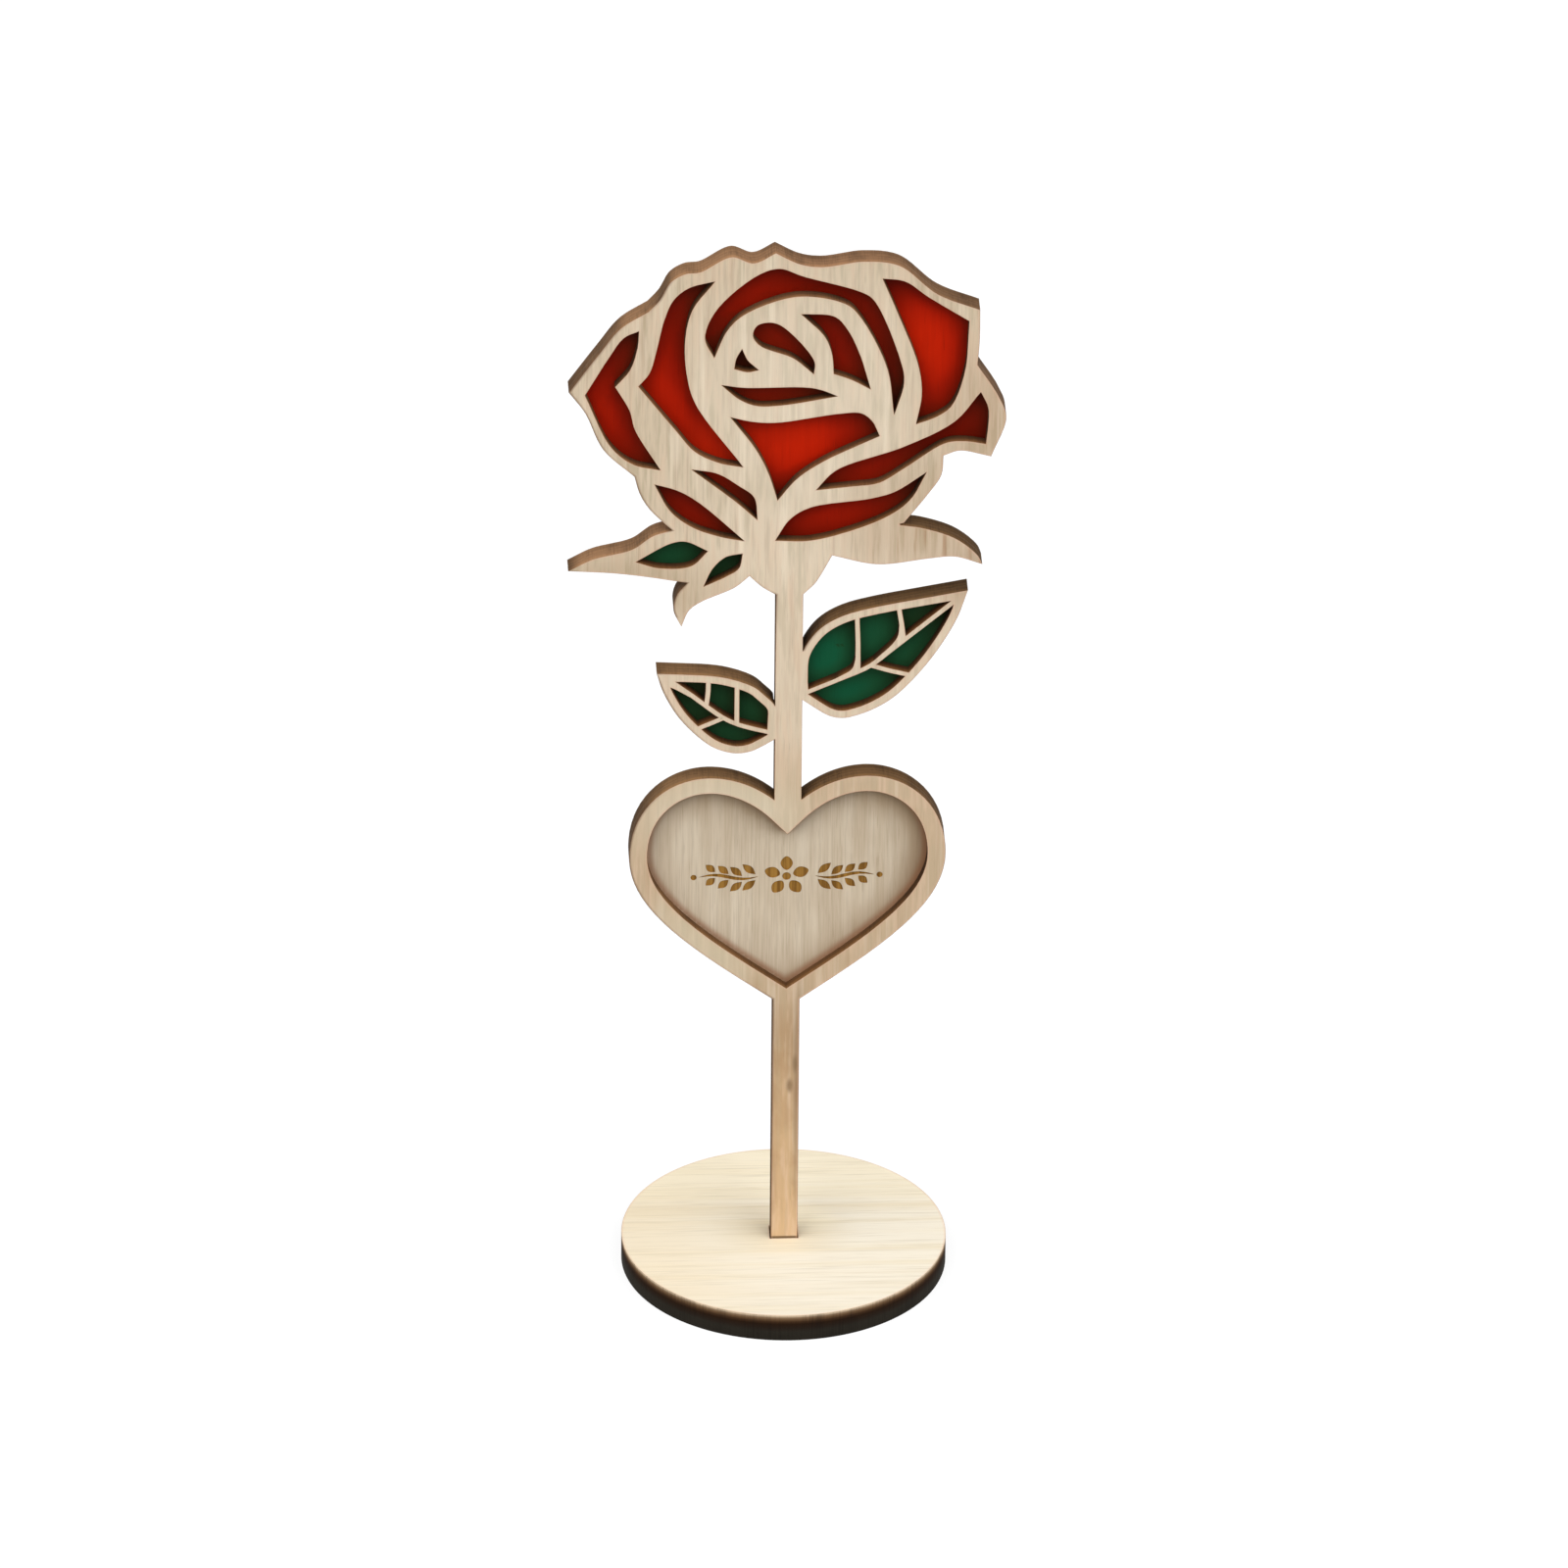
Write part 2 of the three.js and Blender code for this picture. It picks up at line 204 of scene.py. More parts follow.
# %% Masks over a surface
def along(place, axis):
    """How far a point lies along X, Y or Z, in metres."""
    return place.node("SeparateXYZ", out=axis, sockets={"Vector": place})


def faded(value, start, end):
    """A soft step: 0 up to `start` and 1 from `end` on. `end` may also be the lower one of the two."""
    settings = {"interpolation_type": "SMOOTHSTEP"}
    sockets = {"Value": value, "From Min": start, "From Max": end}
    return value.node("MapRange", settings=settings, sockets=sockets)


def noise(place, per_metre, stretch=(1, 1, 1), detail=2):
    """Noise with about `per_metre` patches to the metre, drawn out where a stretch is small."""
    drawn = place.node("Mapping", sockets={"Vector": place, "Scale": stretch})
    return place.node("TexNoise", sockets={"Vector": drawn, "Scale": per_metre, "Detail": detail})


# %% The start and the end of a material
def new_finish(name):
    finish = bpy.data.materials.new(name)
    finish.use_nodes = True
    finish.node_tree.nodes.clear()
    return finish, Wire(finish.node_tree)


def bump(height, depth):
    return height.node("Bump", sockets={"Strength": 0.5, "Distance": depth, "Height": height})


def surface(wire, **sockets):
    """Ends a material in one Principled shader. Socket names are written with _ for a space."""
    named = {name.replace("_", " "): value for name, value in sockets.items()}
    shader = wire.node("BsdfPrincipled", sockets=named)
    wire.node("OutputMaterial", sockets={"Surface": shader})


# %% [markdown]
# ## Veneer
# The faces are sanded veneer with its grain up the stem. Wood grain could be painted, or built from Wave
# textures for bold rings. This veneer is plain, so noise is stretched along the grain instead: hair lines,
# fibres, broader bands, and a few dark pores. Along every cut the laser has warmed a narrow ring of the
# face. That ring is real geometry made further down, and it carries the attribute `toast`.

# %% Grain for a flat board
UP_THE_STEM = (1, 1, 0.025)
ACROSS_THE_FOOT = (0.02, 1, 1)
HAIRS = {"per_metre": 3400}
FIBRES = {"per_metre": 1300, "detail": 4}
BANDS = {"per_metre": 330}
PORES = {"per_metre": 5200, "detail": 1}


def grain(place, stretch):
    """Four masks: hair lines, fibres, bands and pores. The first three swing round 0.5."""
    kinds = (HAIRS, FIBRES, BANDS, PORES)
    hair, fibre, band, speck = [noise(place, stretch=stretch, **kind) for kind in kinds]
    return hair, fibre, band, faded(speck, 0.66, 0.76)


# %% Toasted rims and soft spots
SPOT_CORE = 0.2


def measured(wire, name):
    """A number that the mesh carries for each of its points."""
    return wire.node("Attribute", out="Fac", settings={"attribute_name": name})


def toasted(colour, amount):
    return blended(colour, tone(220, 172, 144), measured(colour, "toast") * amount)


def spot(place, centre, size):
    """1 in the middle of an ellipsoid patch and 0 outside it. `size` holds its half lengths."""
    moved = place.node("VectorMath", settings={"operation": "SUBTRACT"}, sockets={0: place, 1: centre})
    scaled = place.node("VectorMath", settings={"operation": "DIVIDE"}, sockets={0: moved, 1: size})
    far = place.node("VectorMath", out="Value", settings={"operation": "LENGTH"}, sockets={0: scaled})
    return 1 - faded(far, SPOT_CORE, 1)


# %% Bare sanded wood
GRAIN_RELIEF = 0.03 * MM


def sanded_wood(wire, colour, relief):
    """Ends a bare wood: dull, with a trace of sheen, and with the grain's own relief."""
    surface(
        wire,
        Base_Color=colour,
        Roughness=0.6 + 0.2 * relief,
        Specular_IOR_Level=0.15,
        Normal=bump(relief, GRAIN_RELIEF),
    )


# %% [markdown]
# ## The flower's front
# The front board is one sheet of veneer, but no veneer has one colour all over. This one is palest in the
# rose, browner on the sepals and warmer down the stem, which has a small knot. A painted picture could hold
# all that. Here each such place is a soft spot in Object coordinates instead, laid over the last one like a
# glaze, because spots need no picture and stay smooth however near the camera comes. Painted shade comes
# last: a dark shadow line where the stem enters the foot, and darker rims that face left.

# %% Ground colour, warmer towards the foot
def pale_ground(height):
    return ramped(height / cad_high.z, [
        (0.03, tone(207, 174, 135)),
        (0.12, tone(200, 166, 125)),
        (0.235, tone(185, 153, 116)),
        (0.275, tone(198, 172, 140)),
        (0.48, tone(203, 178, 147)),
        (0.53, tone(222, 203, 177)),
        (0.70, tone(224, 206, 180)),
        (0.76, tone(214, 195, 168)),
    ])


# %% Patches, streaks and threads, liveliest in the rose and on its right sepal
SEPAL = (36 * MM, -3 * MM, 225 * MM)
SEPAL_SIZE = (34 * MM, 30 * MM, 20 * MM)
PATCHES = {"per_metre": 430, "stretch": (1, 1, 0.14), "detail": 3}
STREAKS = {"per_metre": 900, "stretch": (1, 1, 0.06), "detail": 3}
THREADS = {"per_metre": 560, "stretch": (1, 1, 0.06)}
CALM_BELOW = 195 * MM
LIVELY_ABOVE = 235 * MM


def with_figure(place, colour, height, hair, fibre, band):
    sepal = spot(place, SEPAL, SEPAL_SIZE)
    lively = faded(height, CALM_BELOW, LIVELY_ABOVE)
    patch = noise(place, **PATCHES)
    warmed = blended(colour, tone(224, 196, 167), faded(patch, 0.5, 0.66) * 0.4)
    dull = faded(0.7 * patch + 0.3 * fibre, 0.5, 0.36)
    dulled = blended(warmed, tone(178, 162, 131), dull * (0.26 + 0.26 * lively))
    streak = faded(0.25 * hair + 0.35 * fibre + 0.4 * noise(place, **STREAKS), 0.48, 0.64)
    streaked = blended(dulled, tone(160, 132, 102), streak * (0.25 + 0.17 * lively + 0.08 * sepal))
    clear = faded(0.6 * band + 0.4 * fibre, 0.5, 0.66)
    paled = blended(streaked, tone(244, 230, 206), clear * (0.28 + 0.22 * lively))
    thread = faded(noise(place, **THREADS), 0.56, 0.7)
    return blended(paled, tone(166, 122, 88), thread * (0.16 + 0.4 * sepal) + 0.08 * sepal)


# %% Mottles low on the stem, pores and a knot
KNOT = (1.2 * MM, -3 * MM, 57 * MM)
KNOT_SIZE = (1.5 * MM, 6 * MM, 3.2 * MM)
MOTTLES = {"per_metre": 210, "stretch": (1, 1, 0.5), "detail": 3}
EVEN_ABOVE = 96 * MM
MOTTLED_BELOW = 84 * MM


def with_flaws(place, colour, height, fibre, pore):
    mottle = faded(noise(place, **MOTTLES), 0.46, 0.66) * faded(height, EVEN_ABOVE, MOTTLED_BELOW)
    mottled = blended(colour, tone(162, 120, 78), mottle * 0.28)
    flecked = blended(mottled, tone(138, 106, 76), pore * 0.3)
    return blended(flecked, tone(108, 78, 46), spot(place, KNOT, KNOT_SIZE) * (0.5 + 0.6 * fibre))


# %% Paler and browner places
front_low, front_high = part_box("front_fretwork")
TINT_DEPTH = 30 * MM

# Middle and half size over X and Z in mm, then the tint and its share
tinted_places = {
    "middle of the rose": ((5, 268), (48, 66), tone(250, 237, 215), 0.32),
    "right edge of the rose": ((60, 268), (30, 36), tone(176, 138, 104), 0.32),
    "lower right of the rose": ((32, 236), (30, 26), tone(170, 136, 100), 0.3),
    "tip of the right sepal": ((56, 216), (26, 18), tone(160, 126, 94), 0.5),
    "left sepal": ((-50, 214), (48, 20), tone(170, 144, 110), 0.5),
    "top left of the heart": ((-18, 143), (34, 22), tone(224, 216, 190), 0.5),
    "lower left of the heart": ((-28, 100), (30, 24), tone(216, 206, 178), 0.45),
    "right half of the lower stem": ((4.5, 66), (6, 34), tone(146, 114, 80), 0.32),
    "middle of the lower stem": ((0, 47), (8, 26), tone(228, 194, 152), 0.2),
    "smear over the knot": ((2.6, 64), (1.2, 4), tone(110, 84, 48), 0.5),
    "right rim of the lower stem": ((3.7, 52), (2.2, 52), tone(112, 84, 50), 0.5),
}
print("tinted places:", ", ".join(tinted_places))


def with_tints(place, colour):
    for (x, z), (half_width, half_height), tint, share in tinted_places.values():
        centre = (x * MM, front_low.y, z * MM)
        size = (half_width * MM, TINT_DEPTH, half_height * MM)
        colour = blended(colour, tint, spot(place, centre, size) * share)
    return colour


# %% Painted shadow line at the joint with the foot, and painted shade on walls and rims that face left
foot_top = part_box("foot_disc")[1].z
JOINT_LINE = 0.8 * MM
JOINT_CORE = 0.45 * MM
JOINT_SINK = 0.3 * MM
LEE_FROM = 0.5
OPENING_FROM = 0.3


def painted_joint_shadow(height):
    """1 on a narrow line across the stem, just above the foot, where a shadow is painted."""
    from_above = faded(height, foot_top + JOINT_LINE, foot_top + JOINT_CORE)
    return from_above * faded(height, foot_top - JOINT_SINK, foot_top)


def facing_left(wire):
    """1 on walls and rims that face left and 0 on those that face up, down or right."""
    return faded(measured(wire, "lee"), LEE_FROM, 1)


# Painted shade on the toasted rims that face left, outside the narrow openings.
def left_rims(wire):
    outside = faded(measured(wire, "opening"), OPENING_FROM, 0)
    return measured(wire, "toast") * facing_left(wire) * outside


# %% Pale veneer of the flower's front, all together
def pale_veneer():
    finish, wire = new_finish("pale_veneer")
    place = wire.node("TexCoord", out="Object")
    height = along(place, "Z")
    hair, fibre, band, pore = grain(place, UP_THE_STEM)
    figured = with_figure(place, pale_ground(height), height, hair, fibre, band)
    flawed = with_flaws(place, figured, height, fibre, pore)
    # Painted shadow line where the stem enters the foot.
    joint_shadowed = blended(with_tints(place, flawed), tone(84, 62, 36), painted_joint_shadow(height) * 0.8)
    shaded_left_rims = blended(toasted(joint_shadowed, 0.45), tone(84, 62, 38), left_rims(wire) * 0.75)
    sanded_wood(wire, shaded_left_rims, 0.6 * fibre + 0.4 * hair - 0.3 * pore)
    return finish


# %% [markdown]
# ## Veneer of the heart board and the foot
# The board behind the heart lies in a recess, and its colour carries painted shade: darker in the nooks,
# closest along the walls and on its right side. The foot is cut from a creamier sheet, and its grain runs
# from left to right. Its colour carries painted shade round the slot, warmed like light thrown back from the
# stem, and painted light beside the slot on the right and towards the back. One finish with other colours
# could serve all three, but each is marked in other places, so each has a short function of its own over the
# same grain.

# %% Greyer veneer of the heart board, with painted shade along its walls and most on its right
HEART_SIDE = (41 * MM, 0, 118 * MM)
HEART_SIDE_SIZE = (15 * MM, 10 * MM, 24 * MM)
CLOUDS = {"per_metre": 110, "stretch": (1, 1, 0.45)}


def heart_veneer():
    finish, wire = new_finish("heart_veneer")
    place = wire.node("TexCoord", out="Object")
    hair, fibre, band, pore = grain(place, UP_THE_STEM)
    light = blended(tone(216, 201, 178), tone(206, 189, 164), faded(band, 0.35, 0.65))
    clouded = blended(light, tone(194, 174, 148), faded(noise(place, **CLOUDS), 0.4, 0.65) * 0.5)
    streaked = blended(clouded, tone(168, 149, 123), faded(0.5 * hair + 0.5 * fibre, 0.44, 0.62) * 0.35)
    flecked = blended(streaked, tone(140, 114, 86), pore * 0.35)
    # Painted shade: darker in the nooks, on the right side and close along the walls.
    shaded_in_nooks = blended(flecked, tone(150, 122, 88), faded(measured(wire, "nook"), 0.05, 0.75) * 0.85)
    painted_side_shading = blended(shaded_in_nooks, tone(128, 94, 62), spot(place, HEART_SIDE, HEART_SIDE_SIZE) * 0.4)
    shaded_at_walls = blended(painted_side_shading, tone(152, 102, 70), faded(measured(wire, "wall"), 0.5, 1) * 0.75)
    sanded_wood(wire, toasted(shaded_at_walls, 0.45), 0.6 * fibre + 0.4 * hair - 0.3 * pore)
    return finish


# %% Cream veneer of the foot
SLOT_MIDDLE = (0, 0, foot_top)
SLOT_SHADE = (24 * MM, 16 * MM, 10 * MM)
RIGHT_OF_SLOT = (6 * MM, 7 * MM, foot_top)
RIGHT_OF_SLOT_SIZE = (12 * MM, 10 * MM, 10 * MM)
FOOT_FIGURE = {"per_metre": 110, "stretch": ACROSS_THE_FOOT}
YELLOW_UP_TO = 5 * MM
YELLOWEST_AT = -40 * MM
PAINTED_LIGHT_FROM = 5 * MM
PAINTED_LIGHT_FULL_AT = 35 * MM


def foot_veneer():
    finish, wire = new_finish("foot_veneer")
    place = wire.node("TexCoord", out="Object")
    hair, fibre, band, pore = grain(place, ACROSS_THE_FOOT)
    light = blended(tone(228, 219, 201), tone(223, 211, 186), faded(band, 0.4, 0.7))
    at_left = faded(along(place, "X"), YELLOW_UP_TO, YELLOWEST_AT)
    yellowed = blended(light, tone(225, 208, 177), at_left * 0.6)
    # Painted light towards the back, where the flower's shadow falls on the foot.
    at_back = faded(along(place, "Y"), PAINTED_LIGHT_FROM, PAINTED_LIGHT_FULL_AT)
    paled = blended(yellowed, tone(240, 228, 200), at_back * 0.6)
    figure = faded(noise(place, **FOOT_FIGURE), 0.56, 0.72)
    figured = blended(paled, tone(206, 186, 152), figure * 0.2)
    # Painted shade round the slot, warmed like light from the stem, and painted light beside it on the right.
    painted_warm_shade = blended(figured, tone(210, 184, 130), spot(place, SLOT_MIDDLE, SLOT_SHADE) * 0.33)
    painted_light_beside_slot = blended(painted_warm_shade, tone(248, 236, 206), spot(place, RIGHT_OF_SLOT, RIGHT_OF_SLOT_SIZE) * 0.5)
    streaked = blended(painted_light_beside_slot, tone(182, 168, 140), faded(0.5 * hair + 0.5 * fibre, 0.48, 0.66) * 0.34)
    flecked = blended(streaked, tone(180, 152, 116), pore * 0.2)
    sanded_wood(wire, toasted(flecked, 0.35), 0.6 * fibre + 0.4 * hair)
    return finish


# %% [markdown]
# ## Stain
# The boards behind the petals and leaves are stained before they are glued. Stain is no flat paint: it sinks
# deeper into soft fibres, so the same grain shows through as darker streaks, and it pools in faint clouds.
# Its gloss is set low, because white studio light on a glossy red would turn it pink. Along the walls of
# every opening the colour carries painted shade. The attribute `nook`, made further down, says where, and a
# ramp turns it into colours, from the open middle of a petal or leaf to its tightest corner. A few wide
# spots are painted light and shade too: lighter on the left petal, darker at the top, at the right and low
# down.

# %% Stained veneer, one function for both colours
LEFT_PETAL = (-18 * MM, 0, 258 * MM)
LEFT_PETAL_SIZE = (15 * MM, 10 * MM, 17 * MM)
RIGHT_TIP = (50 * MM, 0, 254 * MM)
RIGHT_TIP_SIZE = (30 * MM, 10 * MM, 20 * MM)
LOW_PETALS = (5 * MM, 0, 224 * MM)
LOW_PETALS_SIZE = (55 * MM, 10 * MM, 14 * MM)
TOP_PETALS = (14 * MM, 0, 314 * MM)
TOP_PETALS_SIZE = (60 * MM, 10 * MM, 20 * MM)
STAIN_CLOUDS = {"per_metre": 70}


def stained_veneer(name, lightest_tone, darkest_tone, shades):
    """The first two colours are the stain at its lightest and darkest, also used for spots of painted light
    and shade.
    `shades` holds pairs of nook and colour for the painted shade.
    """
    finish, wire = new_finish(name)
    place = wire.node("TexCoord", out="Object")
    hair, fibre, band, pore = grain(place, UP_THE_STEM)
    # Painted shade from the nook ramp, then painted light on the left petal and painted shade at the right,
    # low down and at the top.
    shaded_ground = ramped(measured(wire, "nook"), shades)
    painted_light_left = blended(shaded_ground, lightest_tone, spot(place, LEFT_PETAL, LEFT_PETAL_SIZE) * 0.6)
    at_right = spot(place, RIGHT_TIP, RIGHT_TIP_SIZE)
    below = spot(place, LOW_PETALS, LOW_PETALS_SIZE)
    above = spot(place, TOP_PETALS, TOP_PETALS_SIZE)
    painted_shade_spots = blended(painted_light_left, darkest_tone, 0.5 * at_right + 0.4 * below + 0.35 * above)
    cloud = noise(place, **STAIN_CLOUDS)
    soaked = faded(0.15 * hair + 0.25 * fibre + 0.1 * band + 0.5 * cloud, 0.36, 0.62)
    clouded = blended(painted_shade_spots, darkest_tone, soaked * 0.16)
    flecked = blended(clouded, darkest_tone, pore * 0.3)
    surface(
        wire,
        Base_Color=flecked,
        Roughness=0.5 + 0.15 * fibre,
        Specular_IOR_Level=0.02,
        Normal=bump(fibre - 0.4 * pore, GRAIN_RELIEF),
    )
    return finish


# %% [markdown]
# ## Cut edges
# A laser chars what it cuts. The edges of the flower are brown, with the plies of each board showing as
# bands, and the back board is darker than the front one. Round the rose the char is light. Over the char lies
# painted light and shade: it is browner on the flower's left and blacker on its right, and darkest on walls
# that face left and inside the openings, most in narrow ones and towards the back. The thicker foot is burnt
# almost black below a tan line, and the engraved lines are burnt to a golden brown. The bands could be
# separate strips of geometry, but a ramp over the depth is simpler and never gaps.

# %% Bands of the plies, from the front face to the back
back_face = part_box("rose_backing")[1].y
flower_depth = back_face - front_low.y
print("flower's depth in mm:", round(flower_depth / MM, 2))


def ply_bands(through):
    """1 in the palest ply and 0 in the glue line. `through` runs from 0 at the front to 1 at the back."""
    bands = [
        (0, 1), (0.155, 1), (0.18, 0.7), (0.32, 0.7), (0.345, 0.85), (0.48, 0.85),
        (0.5, 0), (0.52, 0.65), (0.66, 0.65), (0.69, 0.45), (0.82, 0.45), (0.85, 0.65),
    ]
    return ramped(through, [(position, (shade, shade, shade, 1)) for position, shade in bands])


def shaded_opening_char(through):
    """Char inside the openings with painted shade, blacker towards the bottom."""
    return ramped(through, [
        (0, tone(122, 84, 48)),
        (0.12, tone(100, 60, 28)),
        (0.3, tone(72, 38, 13)),
        (0.46, tone(52, 25, 7)),
    ])


# %% Charred plies of the flower's boards
SOOT = {"per_metre": 160, "detail": 4}
LASER_LINES = {"per_metre": 2600, "stretch": (1, 0.04, 1), "detail": 3}
LASER_RELIEF = 0.05 * MM
DARK_BELOW = 216 * MM
LIGHT_ABOVE = 242 * MM
SIDE_DROP = 0.3
LEFT_LIGHT_UP_TO = 5 * MM
LEFT_LIGHT_FULL_AT = -40 * MM
RIGHT_SHADE_FROM = 10 * MM
RIGHT_SHADE_FULL_AT = 50 * MM


def charred_plies():
    finish, wire = new_finish("charred_plies")
    place = wire.node("TexCoord", out="Object")
    through = (along(place, "Y") - front_low.y) / flower_depth
    plies = ply_bands(through)
    low_char = blended(tone(46, 33, 21), tone(122, 90, 57), plies)
    high_char = blended(tone(92, 68, 50), tone(150, 112, 80), plies)
    aside = along(place, "X")
    height = along(place, "Z") - SIDE_DROP * aside
    char = blended(low_char, high_char, faded(height, DARK_BELOW, LIGHT_ABOVE))
    # Painted light on the flower's left and painted shade on its right, then painted shade inside the
    # openings and on walls that face left.
    painted_side_shading = blended(char, tone(172, 132, 94), faded(aside, LEFT_LIGHT_UP_TO, LEFT_LIGHT_FULL_AT) * 0.24)
    painted_right_shade = blended(painted_side_shading, tone(58, 42, 26), faded(aside, RIGHT_SHADE_FROM, RIGHT_SHADE_FULL_AT) * 0.45)
    shaded_in_openings = blended(painted_right_shade, shaded_opening_char(through), measured(wire, "opening") * 0.9)
    shadowed = blended(shaded_in_openings, tone(40, 26, 14), facing_left(wire) * 0.65)
    soot = noise(place, **SOOT)
    lines = noise(place, **LASER_LINES)
    sooty = blended(shadowed, tone(40, 28, 19), faded(0.6 * soot + 0.4 * lines, 0.42, 0.7) * 0.5)
    surface(
        wire,
        Base_Color=sooty,
        Roughness=0.75 + 0.15 * lines,
        Specular_IOR_Level=0.1,
        Normal=bump(lines, LASER_RELIEF),
    )
    return finish


# %% Burnt edge of the foot
FOOT_SOOT = {"per_metre": 120, "detail": 4}
FOOT_LASER_LINES = {"per_metre": 2200, "stretch": (1, 1, 0.04), "detail": 3}
FOOT_LASER_RELIEF = 0.06 * MM


def burnt_foot_edge():
    finish, wire = new_finish("burnt_foot_edge")
    place = wire.node("TexCoord", out="Object")
    burn = ramped(along(place, "Z") / foot_top, [
        (0.35, tone(42, 38, 31)),
        (0.5, tone(38, 28, 20)),
        (0.65, tone(38, 22, 9)),
        (0.75, tone(62, 41, 24)),
        (0.84, tone(100, 75, 51)),
        (0.91, tone(132, 107, 82)),
        (0.97, tone(196, 174, 146)),
    ])
    lines = noise(place, **FOOT_LASER_LINES)
    soot = noise(place, **FOOT_SOOT)
    sooty = blended(burn, tone(18, 15, 13), faded(0.5 * soot + 0.5 * lines, 0.42, 0.7) * 0.45)
    surface(
        wire,
        Base_Color=sooty,
        Roughness=0.7 + 0.2 * lines,
        Specular_IOR_Level=0.05,
        Normal=bump(lines, FOOT_LASER_RELIEF),
    )
    return finish


# %% Engraved lines
def engraved_brown():
    finish, wire = new_finish("engraved_brown")
    place = wire.node("TexCoord", out="Object")
    fibre = noise(place, stretch=UP_THE_STEM, **FIBRES)
    colour = blended(tone(164, 120, 54), tone(122, 84, 34), faded(fibre, 0.35, 0.65))
    surface(wire, Base_Color=colour, Roughness=0.75 + 0.1 * fibre, Specular_IOR_Level=0.1)
    return finish


# %% All finishes by name
finishes = {
    "pale_veneer": pale_veneer(),
    "heart_veneer": heart_veneer(),
    "foot_veneer": foot_veneer(),
    # The ramps run from the open middle of a petal or leaf to its tightest nook, as painted shade.
    "red_stain": stained_veneer("red_stain", tone(218, 40, 8), tone(84, 14, 4), [
        (0.3, tone(202, 34, 4)),
        (0.4, tone(188, 30, 4)),
        (0.5, tone(160, 25, 4)),
        (0.6, tone(138, 24, 6)),
        (0.7, tone(120, 28, 10)),
        (0.8, tone(94, 32, 14)),
        (0.9, tone(56, 28, 13)),
    ]),
    "green_stain": stained_veneer("green_stain", tone(24, 100, 68), tone(14, 52, 32), [
        (0.54, tone(22, 91, 60)),
        (0.6, tone(29, 84, 53)),
        (0.68, tone(30, 73, 44)),
        (0.76, tone(35, 63, 36)),
        (0.88, tone(44, 48, 25)),
    ]),
    "charred_plies": charred_plies(),
    "burnt_foot_edge": burnt_foot_edge(),
    "engraved_brown": engraved_brown(),
}
print("finishes:", ", ".join(finishes))

# %% [markdown]
# ## Boards with real rims
# The CAD boards have knife-sharp corners, which never catch the light. Each board is copied and welded, and
# its two flat faces are taken off, so that only the walls are left. The open rims are then extruded in small
# steps: first round the corner, then inwards along the face as the narrow ring that the laser toasts. At
# last the flat faces are filled in again. A Bevel modifier would be shorter, but at the needle-sharp tips of
# the petals its rings would cross, while these stop short wherever the wood is thin.

# %% Walls of a board
WELD = 0.001 * MM
FLAT = 0.99
ONE_PLANE = math.radians(0.2)


def is_flat(face, through):
    """True for a board's two flat faces, False for its walls. `through` points from face to face."""
    return abs(face.normal.dot(through)) > FLAT


def board_walls(node, through):
    board = bmesh.new()
    board.from_mesh(frame["nodes"][node].data)
    bmesh.ops.remove_doubles(board, verts=board.verts, dist=WELD)
    board.normal_update()
    flats = [face for face in board.faces if is_flat(face, through)]
    bmesh.ops.delete(board, geom=flats, context="FACES")
    bmesh.ops.dissolve_limit(board, angle_limit=ONE_PLANE, verts=board.verts, edges=board.edges)
    board.normal_update()
    return board


# %% The way into the wood from every point of a rim
RIM_ROUND = 0.1 * MM
TOAST_WIDTH = 0.6 * MM
THIN_SHARE = 0.3
SHARPEST = 1.3
OFF_THE_RIM = 10 * WELD
NO_FAR_WALL = 1


def mark_inwards(board, through):
    """Stores the way in as an attribute, shorter where the far wall is near and longer at a corner."""
    inwards = board.verts.layers.float_vector.new("inwards")
    walls = BVHTree.FromBMesh(board)
    middle = sum(vert.co.dot(through) for vert in board.verts) / len(board.verts)
    for vert in board.verts:
        way = -vert.normal
        start = vert.co + through * (middle - vert.co.dot(through)) + way * OFF_THE_RIM
        thickness = walls.ray_cast(start, way)[3] or NO_FAR_WALL
        room = THIN_SHARE * thickness / (RIM_ROUND + TOAST_WIDTH)
        vert[inwards] = way * min(vert.calc_shell_factor(), SHARPEST, room)
    return inwards


# %% Which walls belong to openings
def mark_openings(board):
    """Stores on each wall how narrow its opening is: near 1 in a slit, less in the heart, 0 outside.
    A second number, `lee`, is 1 where the wall faces left."""
    opening = board.verts.layers.float.new("opening")
    lee = board.verts.layers.float.new("lee")
    waiting = set(board.verts)
    walls = []
    while waiting:
        wall = [waiting.pop()]
        for vert in wall:
            beside = [edge.other_vert(vert) for edge in vert.link_edges]
            wall += [other for other in beside if other in waiting]
            waiting -= set(beside)
        walls.append(wall)
    spans = []
    for wall in walls:
        across = [vert.co.x for vert in wall]
        up = [vert.co.z for vert in wall]
        spans.append(min(max(across) - min(across), max(up) - min(up)))
    for wall, span in zip(walls, spans):
        for vert in wall:
            vert[opening] = 1 - span / max(spans)
            vert[lee] = max(0, -vert.normal.x)


# %% Rings round a rim
RIM_STEPS = 2


def corners(rim):
    return {vert for edge in rim for vert in edge.verts}


def grow_ring(board, rim, inwards, step, rise):
    """Extrudes a rim by one ring of faces, `step` into the wood and along the vector `rise`."""
    grown = bmesh.ops.extrude_edge_only(board, edges=rim)["geom"]
    for item in grown:
        if isinstance(item, bmesh.types.BMVert):
            item.co += item[inwards] * step + rise
    return [item for item in grown if isinstance(item, bmesh.types.BMEdge) and item.is_boundary]


